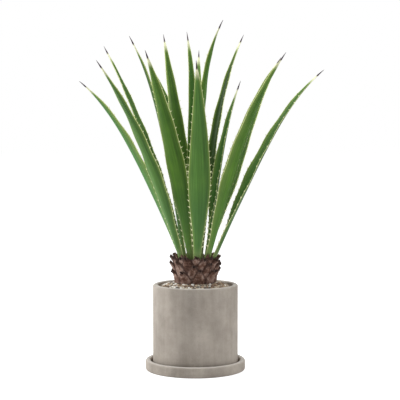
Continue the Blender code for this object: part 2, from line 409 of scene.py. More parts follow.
# a stone's own hue, from 0 to 1, against its colour
PEBBLE_HUES = (
    (0.0, (0.045, 0.04, 0.036, 1)),
    (0.10, (0.15, 0.13, 0.115, 1)),
    (0.24, (0.20, 0.125, 0.075, 1)),
    (0.38, (0.40, 0.28, 0.18, 1)),
    (0.60, (0.47, 0.36, 0.25, 1)),
    (0.80, (0.56, 0.49, 0.38, 1)),
    (0.92, (0.90, 0.88, 0.82, 1)),
)
gravel_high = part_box("gravel")[1]
bore_radius, gravel_top = gravel_high[0], gravel_high[2]
wall_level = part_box("pot")[1][2] - WALL_DROP
stem_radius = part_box("stem")[1][0]
draw = np.random.default_rng(7)


def new_object(name, data):
    """An object in the scene that holds that mesh, light or camera."""
    made = bpy.data.objects.new(name, data)
    bpy.context.scene.collection.objects.link(made)
    return made


def gravel_level(radius):
    """The height of the pebbles' surface, which slopes up from the pot's wall to the stem."""
    share = np.clip((bore_radius - radius) / (bore_radius - stem_radius), 0, 1)
    return wall_level + (gravel_top - wall_level) * np.sin(share * math.pi / 2)


def make_gravel_bed():
    """A ring round the stem, extruded course by course to the pot's wall, then thickened and made lumpy."""
    inner_radius = stem_radius + GAP
    bed = start_with(bpy.ops.mesh.primitive_circle_add, vertices=BED_STEPS, radius=inner_radius)
    bed.name = "gravel_bed"
    bpy.ops.object.mode_set(mode="EDIT")
    bpy.ops.mesh.select_mode(type="EDGE")
    bpy.ops.mesh.select_all(action="SELECT")
    radii = np.linspace(inner_radius, bore_radius, BED_RINGS)
    for inner, outer in zip(radii, radii[1:]):
        growth = outer / inner
        bpy.ops.mesh.extrude_edges_move()
        bpy.ops.transform.resize(value=(growth, growth, 1))
    bpy.ops.object.mode_set(mode="OBJECT")
    for vertex in bed.data.vertices:
        vertex.co.z = gravel_level(math.hypot(vertex.co.x, vertex.co.y)) - BED_DROP
    bpy.ops.object.mode_set(mode="EDIT")
    bpy.ops.mesh.select_all(action="SELECT")
    bpy.ops.mesh.normals_make_consistent(inside=False)
    bpy.ops.object.mode_set(mode="OBJECT")
    thick = bed.modifiers.new("thick", "SOLIDIFY")
    thick.thickness = BED_THICKNESS
    thick.offset = -1
    finer = bed.modifiers.new("finer", "SUBSURF")
    finer.subdivision_type = "SIMPLE"
    finer.levels = finer.render_levels = 2
    apply_modifiers(bed)
    uneven(bed, "bed_lumps", 0.004, 0.003)
    select_only(bed)
    bpy.ops.object.shade_smooth()
    return bed


def pebble_shapes():
    """A few pebbles, rounded by wear: a coarse ball pulled out of round by a cloud, each its own way."""
    shapes = []
    for number in range(PEBBLE_SHAPES):
        place = (3 * number, 0, 0)  # so that each meets another part of the cloud
        ball = start_with(bpy.ops.mesh.primitive_ico_sphere_add, subdivisions=2, radius=1, location=place)
        add_lumps(ball, cloud_of("pebble_wear", 1.1), PEBBLE_WEAR)
        apply_modifiers(ball)
        ball.location = (0, 0, 0)
        flattened = Matrix.Diagonal((1.0, 0.72 + 0.03 * number, 0.50 + 0.03 * number, 1))
        ball.data.transform(flattened)
        shapes.append(ball.data.copy())
        bpy.data.objects.remove(ball, do_unlink=True)
    return shapes


def settle_pebbles():
    """Centres and radii of the pebbles, pushed apart until they lie beside and on each other."""
    radii = draw.uniform(*PEBBLE_RADII, PEBBLE_COUNT)
    reach = np.sqrt(draw.uniform(stem_radius**2, bore_radius**2, PEBBLE_COUNT))
    turn = draw.uniform(0, math.tau, PEBBLE_COUNT)
    depth = draw.uniform(-0.006, 0.0, PEBBLE_COUNT)
    centres = np.stack([reach * np.cos(turn), reach * np.sin(turn), depth], 1)
    centres[:, 2] += gravel_level(reach)
    for _ in range(SETTLING_ROUNDS):
        gaps = centres[:, None] - centres[None]
        apart = np.linalg.norm(gaps, axis=2) + np.eye(PEBBLE_COUNT)
        touch = (radii[:, None] + radii[None]) * NEARNESS
        push = np.clip(touch - apart, 0, None) * (1 - np.eye(PEBBLE_COUNT))
        centres += (gaps / apart[..., None] * push[..., None]).sum(1) * 0.35
        reach = np.hypot(centres[:, 0], centres[:, 1])
        held = np.clip(reach, stem_radius + radii * 0.8, bore_radius - radii * 0.9)
        centres[:, :2] *= (held / reach)[:, None]
        surface = gravel_level(held) - radii * 0.45
        centres[:, 2] = np.clip(centres[:, 2], surface - TOP_LAYER, surface)
    return centres, radii


def make_pebbles():
    """All the loose pebbles as one piece, each a turned copy of one of the shapes, with a hue of its own."""
    shapes = pebble_shapes()
    centres, radii = settle_pebbles()
    heap = bmesh.new()
    hue = heap.verts.layers.float.new("hue")
    for centre, radius in zip(centres, radii):
        shape = shapes[draw.integers(PEBBLE_SHAPES)].copy()
        lie = Matrix.Rotation(draw.uniform(0, math.tau), 4, "Z")
        for axis in ("X", "Y"):
            lie = lie @ Matrix.Rotation(draw.normal(0, PEBBLE_TILT), 4, axis)
        shape.transform(Matrix.Translation(centre) @ lie @ Matrix.Scale(radius * PEBBLE_GROWTH, 4))
        first = len(heap.verts)
        heap.from_mesh(shape)
        heap.verts.ensure_lookup_table()
        own = draw.uniform(0, 1)
        for vertex in heap.verts[first:]:
            vertex[hue] = own
        bpy.data.meshes.remove(shape)
    mesh = bpy.data.meshes.new("pebbles")
    heap.to_mesh(mesh)
    heap.free()
    mesh.shade_smooth()
    for shape in shapes:
        bpy.data.meshes.remove(shape)
    return new_object("pebbles", mesh)


def pebble_material(name, own_hue):
    """Each stone has its own hue, from near-white to dark, with veins and specks of a second tone."""
    made, nodes, links, shader = new_material(name)
    place = nodes.new("ShaderNodeTexCoord").outputs["Object"]
    kinds = ramp(nodes, *PEBBLE_HUES)
    if own_hue:
        own = add_node(nodes, "ShaderNodeAttribute", attribute_name="hue")
        links.new(own.outputs["Fac"], kinds.inputs["Fac"])
    else:
        cells = add_node(nodes, "ShaderNodeTexVoronoi", Scale=130.0)
        links.new(place, cells.inputs["Vector"])
        apart = nodes.new("ShaderNodeSeparateColor")
        links.new(cells.outputs["Color"], apart.inputs["Color"])
        links.new(apart.outputs["Red"], kinds.inputs["Fac"])
    colour, grain = mottled(nodes, links, kinds.outputs["Color"], place, 420, 0.72, 1.14, 5)
    links.new(colour, shader.inputs["Base Color"])
    links.new(remapped(nodes, links, grain, *NOISE_SPREAD, 0.75, 0.5), shader.inputs["Roughness"])
    bump(nodes, links, shader, grain, 0.3, 0.0005)
    return made


gravel_bed = make_gravel_bed()
finish_with(gravel_bed, pebble_material("gravel_bed_stone", own_hue=False))
pebbles = make_pebbles()
finish_with(pebbles, pebble_material("river_pebble", own_hue=True))
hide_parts("gravel")
for heap in (gravel_bed, pebbles):
    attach(heap, "root")

# ------------------------------------------------------------------------------------------------
# Stem and old leaf bases
# The trunk is short and woody. The feet of the leaves it has shed stay on it as thick, dry plates,
# mauve-brown, in staggered rows. Each hugs the trunk at its foot and flares to a blunt, cut end.
# ------------------------------------------------------------------------------------------------
# a pair is the range that each plate's or husk's own value is drawn from, or its value at foot and end
MIDRIB_STEPS = 120
PLATE_ROWS = 4
PLATES_IN_ROW = 9
PLATE_LENGTH = 0.040
PLATE_LENGTH_SPREAD = (0.84, 1.12)
TOP_ROW_SHARE = 0.64  # how long the top row's plates are against the others
PLATE_SPACING = 0.0035
PLATE_STAND_OFF = 0.0020
PLATE_FOOT_SPREAD = (1.12, 1.30)
PLATE_FOOT_DEPTH = 0.0040
PLATE_END_WIDTH = 0.0095
PLATE_END_SPREAD = (0.55, 1.5)
PLATE_END_DEPTHS = (0.0052, 0.0072)
PLATE_LEAN = (4, 68)  # degrees off upright, at the foot and at the end
PLATE_LEAN_SPREAD = ((-2, 2), (-18, 8))
PLATE_SWING = (-14, 14)
PLATE_TEAR = (0.003, 0.008)
SKEW = (-0.004, 0.004)
SHOULDER = 0.22  # a plate keeps its width up to this share of its length
BASE_CUTS = 9
HUSKS = 13
HUSK_LENGTHS = (0.015, 0.023)
HUSK_FOOT_WIDTHS = (0.012, 0.018)
HUSK_END_WIDTHS = (0.003, 0.008)
HUSK_DEPTHS = (0.0028, 0.0012)
HUSK_TEAR = 0.003
HUSK_REACH = (0.93, 1.0)  # shares of the stem's radius
HUSK_LEANS = (4, 16)
HUSK_CURLS = (0, 22)
HUSK_SINK = 0.006
BARK_ANGLE = 40  # degrees, past which a plate's edge stays sharp
leaf_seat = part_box("stem")[1][2]
stem_shown = leaf_seat - gravel_top


def set_corners(mesh, points):
    mesh.vertices.foreach_set("co", np.ascontiguousarray(points).reshape(-1))
    mesh.update()


def on_circle(radius, azimuth, level):
    """A place round the plant's axis, with azimuth in degrees."""
    turn = math.radians(azimuth)
    return radius * math.cos(turn), radius * math.sin(turn), level


def midrib(foot, heading, swing, length, lean_foot, lean_tip, curl):
    """Points of a blade's midrib, and at each one the ways along, across and inwards to the plant's axis."""
    share = np.linspace(0, 1, MIDRIB_STEPS + 1)
    lean = np.radians(lean_foot + (lean_tip - lean_foot) * share**curl)
    turn = np.radians(heading + swing * share)
    flat = np.zeros_like(share)
    along = np.stack([np.sin(lean) * np.cos(turn), np.sin(lean) * np.sin(turn), np.cos(lean)], 1)
    across = np.stack([-np.sin(turn), np.cos(turn), flat], 1)
    inward = np.cross(along, across)
    steps = np.cumsum(along * length / MIDRIB_STEPS, 0)
    points = np.vstack([[foot], np.asarray(foot) + steps[:-1]])
    return points, along, across, inward


def read_off(curve, share):
    """The values of a midrib's curve at each share of its length."""
    known = np.linspace(0, 1, MIDRIB_STEPS + 1)
    return np.stack([np.interp(share, known, curve[:, axis]) for axis in range(3)], 1)


def make_base_block():
    """A closed block, two units each way and cut into small squares. Every old leaf base starts as one."""
    block = start_with(bpy.ops.mesh.primitive_cube_add, size=2)
    bpy.ops.object.mode_set(mode="EDIT")
    bpy.ops.mesh.select_all(action="SELECT")
    bpy.ops.mesh.subdivide(number_cuts=BASE_CUTS)
    bpy.ops.object.mode_set(mode="OBJECT")
    return block


def shaped_base(name, block, curves, widths, depths, hug, tear, skew):
    """A copy of the block bent along a midrib and round a trunk of radius hug.

    widths and depths are (at the foot, at the end), tear is the depth of the notch in the cut end, and
    skew is how far the end is pulled sideways.
    """
    notch_at = draw.uniform(-0.35, 0.35)
    piece = new_object(name, block.data.copy())
    cube = corners_of(piece.data)
    across, along, side = cube[:, 0], (cube[:, 1] + 1) / 2, cube[:, 2]
    end = np.clip((along - 0.999) * 1000, 0, 1)  # 1 on the cut end's face, 0 elsewhere
    hollow = end * (1 - across**4) * (1 - side**4)
    middle, forward, sideways, inward = (read_off(curve, along) for curve in curves)
    tapered = np.clip((along - SHOULDER) / (0.9 - SHOULDER), 0, 1)
    belly = 1 + 0.08 * np.sin(math.pi * along)
    half = (widths[0] * belly * (1 - tapered) + widths[1] * tapered) / 2
    depth = depths[0] + (depths[1] - depths[0]) * np.sin(math.pi / 2 * along)
    crown = np.where(side < 0, 1 - 0.45 * np.abs(across) ** 2.5, 1)  # the outer face thins to its edges
    keel = np.where(side < 0, 0.0010 * (1 - np.abs(across)), 0)
    wrapped = half**2 * across**2 / 2 / hug
    torn = end * tear * (1 - np.abs(across - notch_at)) ** 2
    points = middle - forward * (hollow * tear * 0.15 + torn)[:, None]
    points += sideways * (half * across * (1 - 0.10 * side**2) + skew * along**2)[:, None]
    points += inward * (side * depth / 2 * crown - keel + wrapped)[:, None]
    set_corners(piece.data, points)
    mark(piece.data, "along", along)
    mark(piece.data, "cut_end", hollow)
    mark(piece.data, "side_edge", np.abs(across) ** 3)
    mark(piece.data, "own", np.full(len(points), draw.uniform(0, 1)))
    soft = piece.modifiers.new("soft", "SUBSURF")
    soft.levels = soft.render_levels = 1
    add_lumps(piece, coarse_cloud, 0.0030)
    add_lumps(piece, fine_cloud, 0.0020)
    apply_modifiers(piece)
    bpy.ops.object.shade_smooth_by_angle(angle=math.radians(BARK_ANGLE))
    return piece


def make_leaf_base(block, row, place):
    """One plate, in its row and its place round the trunk: (the piece, the node that it stands for)."""
    number = row * PLATES_IN_ROW + place + 1
    pitch = 360 / PLATES_IN_ROW
    azimuth = (place + 0.5 * (row % 2) + 0.12 * row) * pitch
    wobble = math.sin(2.4 * (number - 1))
    level = gravel_top + GAP + row * stem_shown / PLATE_ROWS
    hug = stem_radius + GAP + PLATE_STAND_OFF
    foot_width = math.radians(pitch) * hug - PLATE_SPACING
    length = PLATE_LENGTH * (1 + 0.06 * wobble) * draw.uniform(*PLATE_LENGTH_SPREAD)
    length *= TOP_ROW_SHARE if row == PLATE_ROWS - 1 else 1.0
    lean_foot = PLATE_LEAN[0] + draw.uniform(*PLATE_LEAN_SPREAD[0])
    lean_end = PLATE_LEAN[1] + 5 * wobble + draw.uniform(*PLATE_LEAN_SPREAD[1])
    foot = on_circle(hug, azimuth, level)
    curves = midrib(foot, azimuth, draw.uniform(*PLATE_SWING), length, lean_foot, lean_end, 2.0)
    foot_width *= draw.uniform(*PLATE_FOOT_SPREAD)
    widths = (foot_width, PLATE_END_WIDTH * draw.uniform(*PLATE_END_SPREAD))
    depths = (PLATE_FOOT_DEPTH, draw.uniform(*PLATE_END_DEPTHS))
    tear, skew = draw.uniform(*PLATE_TEAR), draw.uniform(*SKEW)
    piece = shaped_base(f"dry_base_{number:02d}", block, curves, widths, depths, hug, tear, skew)
    return piece, f"leaf_base_{number:02d}"


def make_husks(block):
    """Thin papery shreds of the youngest bases, standing up between the feet of the leaves."""
    shreds = []
    for number in range(HUSKS):
        azimuth = (number + draw.uniform(-0.3, 0.3)) * 360 / HUSKS
        reach = stem_radius * draw.uniform(*HUSK_REACH)
        foot = on_circle(reach, azimuth, leaf_seat - HUSK_SINK)
        lean = draw.uniform(*HUSK_LEANS)
        length, curled = draw.uniform(*HUSK_LENGTHS), draw.uniform(*HUSK_CURLS)
        curves = midrib(foot, azimuth, 0, length, lean, lean + curled, 1.5)
        widths = (draw.uniform(*HUSK_FOOT_WIDTHS), draw.uniform(*HUSK_END_WIDTHS))
        skew = draw.uniform(*SKEW)
        name = f"husk_{number}"
        shreds.append(shaped_base(name, block, curves, widths, HUSK_DEPTHS, reach, HUSK_TEAR, skew))
    select_only(shreds[0])
    for shred in shreds:
        shred.select_set(True)
    bpy.ops.object.join()
    shreds[0].name = "papery_husks"
    return shreds[0]


def read_marks(nodes, *names):
    """The numbers that mark() stored on the piece, by name."""
    return {
        name: add_node(nodes, "ShaderNodeAttribute", attribute_name=name).outputs["Fac"] for name in names
    }


def layered(nodes, links, colour, read, *layers):
    """Colours laid over colour. A layer is (mark, from, to, strength at from, strength at to, colour)."""
    for field, start, end, at_start, at_end, tint in layers:
        strength = remapped(nodes, links, read[field], start, end, at_start, at_end)
        colour = mixed(nodes, links, strength, colour, tint)
    return colour


def bark_material(name, dark, middle, pale, cut):
    """Dry leaf tissue, mauve-brown and paler where rubbed, fibrous along it, darker towards its dry end, with
    a darker, hollow cut end, and painted shade at its foot and along its side edges.
    """
    made, nodes, links, shader = new_material(name)
    place = nodes.new("ShaderNodeTexCoord").outputs["Object"]
    read = read_marks(nodes, "along", "cut_end", "side_edge", "own")
    blotch = noise(nodes, links, place, 80, 5, 0.66)
    shifted = joined(nodes, links, "ADD", blotch, joined(nodes, links, "MULTIPLY", read["own"], 0.16))
    # a darker brown: painted shade in the crevices along a plate's side edges, and the darker colour of its
    # dry end
    crevice_shade_and_dry_end = tuple(0.75 * level for level in dark[:3]) + (1,)
    body = ramp(nodes, (0.40, dark), (0.54, middle), (0.70, pale))
    links.new(shifted, body.inputs["Fac"])
    upright = stretched(nodes, links, place, (420, 420, 60))
    colour, fibre = mottled(nodes, links, body.outputs["Color"], upright, 1, 0.78, 1.18)
    colour = layered(
        nodes, links, colour, read,
        # painted shade: darker towards the foot, in the crease against the trunk
        ("along", 0.02, 0.35, 0.4, 0, dark),
        # painted shade: darker along the side edges, in the crevices between plates
        ("side_edge", 0.35, 0.95, 0, 0.75, crevice_shade_and_dry_end),
        # darker towards the dry end, then towards the cut end
        ("along", 0.55, 0.85, 0, 0.5, crevice_shade_and_dry_end),
        ("along", 0.86, 0.99, 0, 0.6, cut),
        ("cut_end", 0.25, 0.7, 0, 1, cut),
    )
    links.new(colour, shader.inputs["Base Color"])
    links.new(remapped(nodes, links, blotch, *NOISE_SPREAD, 0.85, 0.6), shader.inputs["Roughness"])
    height = joined(nodes, links, "ADD", joined(nodes, links, "MULTIPLY", fibre, 0.5), blotch)
    bump(nodes, links, shader, height, 0.6, 0.0012)
    shader.inputs["Specular IOR Level"].default_value = 0.25
    return made


coarse_cloud = cloud_of("base_lumps", 0.008)
fine_cloud = cloud_of("base_grain", 0.0026)
bark = bark_material(
    "dry_leaf_base",
    dark=(0.056, 0.024, 0.016, 1),
    middle=(0.178, 0.094, 0.066, 1),
    pale=(0.42, 0.29, 0.24, 1),
    cut=(0.042, 0.024, 0.019, 1),
)
trunk_bark = bark_material(
    "trunk_bark",
    dark=(0.025, 0.016, 0.012, 1),
    middle=(0.07, 0.042, 0.032, 1),
    pale=(0.14, 0.09, 0.07, 1),
    cut=(0.05, 0.03, 0.022, 1),
)
husk_skin = bark_material(
    "papery_husk",
    dark=(0.10, 0.045, 0.030, 1),
    middle=(0.20, 0.095, 0.070, 1),
    pale=(0.30, 0.18, 0.14, 1),
    cut=(0.12, 0.07, 0.05, 1),
)
finish_with(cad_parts["stem"], trunk_bark)

base_block = make_base_block()
for row in range(PLATE_ROWS):
    for place in range(PLATES_IN_ROW):
        piece, node = make_leaf_base(base_block, row, place)
        finish_with(piece, bark)
        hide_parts(node)
        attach(piece, "root")
husks = make_husks(base_block)
finish_with(husks, husk_skin)
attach(husks, "root")
bpy.data.objects.remove(base_block, do_unlink=True)

# ------------------------------------------------------------------------------------------------
# Leaves
# Thick, stiff, channelled blades that grow from the top of the stem. A pale horny margin carries
# hooked teeth, and the tip runs out through a cream neck into a dark spine. Each leaf is one growth.
# ------------------------------------------------------------------------------------------------
LEAF_COLUMNS = 20
LEAF_COURSES = 130
LEAF_FOOT_THICKNESS = 0.0065
LEAF_THICKNESS = 0.0042
NECK_THICKNESS = 0.0026
MARGIN_THICKNESS = 0.0010
SPINE_LENGTH = 0.024
SPINE_DIAMETER = 0.0044
WIDEST_AT = 0.40
EDGE_WAVE = 0.0011
WAVES_A_METRE = 62  # radians of the wave for each metre of leaf
TOOTH_LENGTH = 0.0064
TOOTH_SIZES = (0.75, 1.2)
TOOTH_SINK = 0.0009
TOOTH_SPACING = 0.013
FIRST_TOOTH = 0.030
LAST_TOOTH = 0.86  # share of the leaf's length
# each ring's radius and the width of its leaves' feet, as shares of the stem's radius
RINGS = {
    "edge": (0.97, 0.42),
    "outer": (0.875, 0.42),
    "middle": (0.60, 0.375),
    "inner": (0.34, 0.35),
    "heart": (0.15, 0.31),
}

# ring, seat, heading, swing, length, lean at the foot and at the tip, curl, width, fold, twist.
# They are the frame's own leaves, but the third, fourth and sixth are twisted further than their solids
# (by 11, 26 and 34 degrees), so that they show their inner faces.
LEAVES = (
    ("outer", 276, 276, -12, 0.545, 24, 36, 2.0, 0.055, 12, 0),
    ("outer", 318, 318, 0, 0.565, 20, 44, 3.0, 0.052, 20, 0),
    ("edge", 350, 350, 0, 0.550, 25, 52, 4.0, 0.050, 24, 29),
    ("outer", 42, 42, 0, 0.585, 22, 43, 3.0, 0.050, 20, 26),
    ("outer", 102, 103, 40, 0.545, 16, 38, 2.5, 0.044, 20, 0),
    ("outer", 150, 158, 25, 0.525, 25.5, 52, 4.0, 0.046, 26, 34),
    ("outer", 214, 224, 0, 0.560, 22, 44, 2.0, 0.047, 10, 0),
    ("middle", 244, 244, 8, 0.580, 18, 46, 1.6, 0.052, 16, 0),
    ("middle", 200, 200, 0, 0.575, 10, 31, 3.5, 0.046, 20, 0),
    ("middle", 158, 155, 0, 0.590, 20.5, 32, 3.0, 0.044, 14, 0),
    ("middle", 88, 88, 0, 0.585, 18, 31, 2.0, 0.044, 20, 0),
    ("middle", 354, 343, 0, 0.455, 8.5, 22, 4.0, 0.042, 30, 44),
    ("inner", 34, 38, 0, 0.590, 8, 32, 3.0, 0.040, 20, 0),
    ("inner", 118, 120, -8, 0.605, 14, 24, 2.0, 0.048, 16, 0),
    ("heart", 180, 72, 48, 0.580, 4, 17, 3.0, 0.036, 20, 0),
    ("heart", 0, 346, 0, 0.605, 1.5, 30, 5.0, 0.048, 20, -20),
)
# for each leaf: how bright its green is, which is partly its own tone and partly painted shade on the leaves
# that lie in the shade of others; how far it turns to blue; and how strongly one side of the blade carries
# painted light, a paler strip, with painted shade on its other side. The lit side is the left one of the
# blade where the number is negative
LEAF_TONES = (
    (1.0, 0.35, -0.3), (1.0, 0.0, -0.55), (0.80, 0.45, 0.6), (0.88, 0.1, 0.9),
    (0.75, 0.2, 0.3), (1.12, 0.8, 0.9), (0.90, 0.3, -0.15), (0.98, 0.0, -0.45),
    (0.75, 0.2, -0.2), (0.75, 0.2, 0.2), (0.80, 0.3, 0.3), (0.95, 0.6, 0.6),
    (0.38, 0.0, 0.1), (0.66, 0.0, 0.75), (0.85, 0.3, 0.2), (1.0, 0.1, 0.6),
)
LEAF_DEEP = (0.046, 0.132, 0.014, 1)
LEAF_BRIGHT = (0.110, 0.238, 0.026, 1)
LEAF_BLUE = (0.075, 0.200, 0.062, 1)
# painted light: the pale green of a blade's lit side
LIT_SIDE_GREEN = (0.26, 0.38, 0.115, 1)
PALE_SIDE = (0.26, 0.38, 0.07, 1)
HORN = (0.64, 0.70, 0.31, 1)
BLANCHED_FOOT = (0.36, 0.42, 0.17, 1)
LOWER_LEAF = (0.115, 0.235, 0.085, 1)
CREAM_NECK = (0.78, 0.79, 0.52, 1)
DARK_SPINE = (0.045, 0.024, 0.034, 1)
TOOTH_CREAM = (0.82, 0.82, 0.50, 1)
TOOTH_BROWN = (0.30, 0.16, 0.08, 1)
LEAF_ANGLE = 55  # degrees, past which a leaf's edge stays sharp
leaf_level = leaf_seat + GAP


def make_leaf_blank():
    """A flat closed strip, two units each way: a grid given a thickness. Every leaf is shaped from it."""
    grid = bpy.ops.mesh.primitive_grid_add
    strip = start_with(grid, x_subdivisions=LEAF_COLUMNS, y_subdivisions=LEAF_COURSES, size=2)
    thick = strip.modifiers.new("thick", "SOLIDIFY")
    thick.thickness = 0.2
    thick.offset = 0
    apply_modifiers(strip)
    return strip


def spreading(share):
    """0 at the leaf's foot, and 1 from its widest place on."""
    return np.sin(math.pi / 2 * np.clip(share / WIDEST_AT, 0, 1)) ** 2


def leaf_widths(share, length, width, foot_width):
    """Widens from the foot to the widest place, then narrows to the spine."""
    spine_from = 1 - SPINE_LENGTH / length
    rising = foot_width + (width - foot_width) * spreading(share)
    done = np.clip((share - WIDEST_AT) / (spine_from - WIDEST_AT), 0, 1)
    falling = SPINE_DIAMETER + (width - SPINE_DIAMETER) * (1 - done**1.35) ** 0.9
    spine = SPINE_DIAMETER * (1 - 0.85 * (share - spine_from) / (1 - spine_from))
    return np.where(share <= WIDEST_AT, rising, np.where(share < spine_from, falling, spine))


def leaf_thicknesses(share, length, spine_widths):
    """Thick at the foot, thinner towards the neck, and as thick as it is wide along the spine."""
    spine_from = 1 - SPINE_LENGTH / length
    swell = np.clip(1 - share / 0.25, 0, 1) ** 2
    body = LEAF_THICKNESS + (NECK_THICKNESS - LEAF_THICKNESS) * share / spine_from
    body = body + (LEAF_FOOT_THICKNESS - LEAF_THICKNESS) * swell
    return np.where(share >= spine_from, spine_widths, body)


def make_tooth():
    """One hooked tooth, 1 long from a broad oval foot, pointing up Z and hooked towards +X."""
    cone = bpy.ops.mesh.primitive_cone_add
    tooth = start_with(cone, vertices=8, radius1=0.62, radius2=0.05, depth=1.0, location=(0, 0, 0.5))
    settle(tooth)
    bpy.ops.object.mode_set(mode="EDIT")
    for level in (0.3, 0.6):
        bpy.ops.mesh.select_all(action="SELECT")
        bpy.ops.mesh.bisect(plane_co=(0, 0, level), plane_no=(0, 0, 1))
    for level, shift, narrowing in ((0.28, 0.06, 0.72), (0.58, 0.16, 0.82), (0.9, 0.30, 1.0)):
        select_where(tooth, "verts", lambda vertex: vertex.co.z > level)
        bpy.ops.transform.translate(value=(shift, 0, 0))
        bpy.ops.transform.resize(value=(narrowing, narrowing, 1), center_override=(shift * 2, 0, level))
    bpy.ops.object.mode_set(mode="OBJECT")
    tooth.data.transform(Matrix.Diagonal((0.78, 0.42, 1, 1)))  # flatter across the leaf's edge than along it
    return tooth


class LeafShape:
    """Where any place on one leaf lies: its share of the length, its place across and its face."""

    def __init__(self, ring, seat, heading, swing, length, lean_foot, lean_tip, curl, width, fold, twist):
        radius_share, width_share = RINGS[ring]
        foot = on_circle(radius_share * stem_radius, seat, leaf_level)
        self.curves = midrib(foot, heading, swing, length, lean_foot, lean_tip, curl)
        self.length, self.width, self.fold, self.twist = length, width, fold, twist
        self.foot_width = width_share * stem_radius
        self.phase = draw.uniform(0, math.tau)

    def point(self, share, across, side):
        """The point at a share of the length. side is 1 on the inner face and -1 on the outer face."""
        middle, _, sideways, inward = (read_off(curve, share) for curve in self.curves)
        turn = np.radians(self.twist) * spreading(share)
        turned, upright = np.sin(turn)[:, None], np.cos(turn)[:, None]
        sideways, inward = sideways * upright + inward * turned, inward * upright - sideways * turned
        widths = leaf_widths(share, self.length, self.width, self.foot_width)
        thick = leaf_thicknesses(share, self.length, widths)
        fold = np.radians(self.fold * (1 - share**8))  # the channel runs out before the spine
        inner_part = 0.15 + 0.35 * share**6  # how much of the thickness lies on the inner side
        roundness = 1.0 - 0.5 * share**12  # the section turns from a lens to the spine's circle
        margin = MARGIN_THICKNESS * np.clip((1 - share) * 8, 0, 1)
        body = margin + (thick - margin) * (1 - across**2) ** roundness
        waving = np.sin(share * self.length * WAVES_A_METRE + self.phase + across * 1.3)
        wave = EDGE_WAVE * waving * np.sin(math.pi * share) ** 0.5
        height = widths / 2 * np.sin(fold) * np.abs(across) ** 1.5 + wave * np.abs(across) ** 3
        height += np.where(side > 0, body * inner_part, -body * (1 - inner_part))
        spread = widths / 2 * np.cos(fold) * across
        return middle + sideways * spread[:, None] + inward * height[:, None]


def tooth_place(shape, here, hand, size):
    """Where a tooth of that size stands on the edge: (its matrix, its root, the way that it points)."""
    hem = shape.point(here, np.array([hand * 1.0]), np.array([1]))[0]
    inside = shape.point(here, np.array([hand * 0.8]), np.array([1]))[0]
    up = Vector(read_off(shape.curves[1], here)[0]).normalized()
    out = Vector(hem - inside).normalized()
    out = (out - up * out.dot(up)).normalized()
    flatwise = out.cross(up)
    place = Matrix((up * size, flatwise * size, out * size)).transposed().to_4x4()
    return Matrix.Translation(Vector(hem) - out * TOOTH_SINK) @ place, Vector(hem), out


def add_teeth(mesh, tooth, shape):
    """Sets copies of the tooth along both edges of the blade, smaller and further apart towards the tip."""
    whole = bmesh.new()
    whole.from_mesh(mesh)
    marks = {name: whole.verts.layers.float[name] for name in ("run", "tip", "tooth", "lane", "tone_and_shade")}
    for hand in (-1, 1):
        run = FIRST_TOOTH + draw.uniform(0, 0.01)
        while run < shape.length * LAST_TOOTH:
            here = np.array([run / shape.length])
            size = TOOTH_LENGTH * (1 - 0.40 * here[0]) * draw.uniform(*TOOTH_SIZES)
            place, root, out = tooth_place(shape, here, hand, size)
            hook = tooth.data.copy()
            hook.transform(place)
            if place.determinant() < 0:
                hook.flip_normals()
            first = len(whole.verts)
            whole.from_mesh(hook)
            whole.verts.ensure_lookup_table()
            own = {"run": run, "tip": shape.length - run, "lane": hand, "tone_and_shade": 1}
            for vertex in whole.verts[first:]:
                for name, value in own.items():
                    vertex[marks[name]] = value
                reach = (vertex.co - root).dot(out) / size
                vertex[marks["tooth"]] = min(max(reach, 0.01), 1)
            bpy.data.meshes.remove(hook)
            run += TOOTH_SPACING + 0.010 * here[0] + draw.uniform(-0.002, 0.004)
    whole.to_mesh(mesh)
    whole.free()


def make_leaf(strip, tooth, number, facts):
    """One leaf: the strip laid along its midrib and cut off level at the foot, with its marks and teeth."""
    shape = LeafShape(*facts)
    mesh = strip.data.copy()
    flat = corners_of(mesh)
    across = np.sign(flat[:, 0]) * np.abs(flat[:, 0]) ** 0.8  # closer together towards the edges
    share, side = (flat[:, 1] + 1) / 2, np.sign(flat[:, 2])
    points = shape.point(share, across, side)
    along = read_off(shape.curves[1], share)
    at_foot = share < 1e-6
    slide = (leaf_level - points[at_foot, 2]) / along[at_foot, 2]
    points[at_foot] += along[at_foot] * slide[:, None]
    set_corners(mesh, points)
    widths = leaf_widths(share, shape.length, shape.width, shape.foot_width)
    bright, blue, lit_side = LEAF_TONES[number - 1]
    # which way across the blade the painted lit side lies
    towards_lit_side = across * np.sign(lit_side)
    for name, values in {
        "margin": widths / 2 * (1 - np.abs(across)),
        "lane": across,
        "run": share * shape.length,
        "tip": (1 - share) * shape.length,
        "tooth": np.zeros(len(points)),
        # painted light: a paler strip along the lit side of the blade
        "lit_side": abs(lit_side) * np.clip((towards_lit_side - 0.15) / 0.7, 0, 1),
        # painted shade: the other side of the blade darker, times the leaf's brightness, which is partly
        # painted shade on leaves that lie in the shade of others
        "tone_and_shade": bright * (1 - 0.34 * np.clip((-towards_lit_side - 0.05) / 0.9, 0, 1)),
        "blue": np.full(len(points), blue),
    }.items():
        mark(mesh, name, values)
    add_teeth(mesh, tooth, shape)
    leaf = new_object(f"agave_leaf_{number:02d}", mesh)
    select_only(leaf)
    bpy.ops.object.shade_smooth_by_angle(angle=math.radians(LEAF_ANGLE))
    return leaf


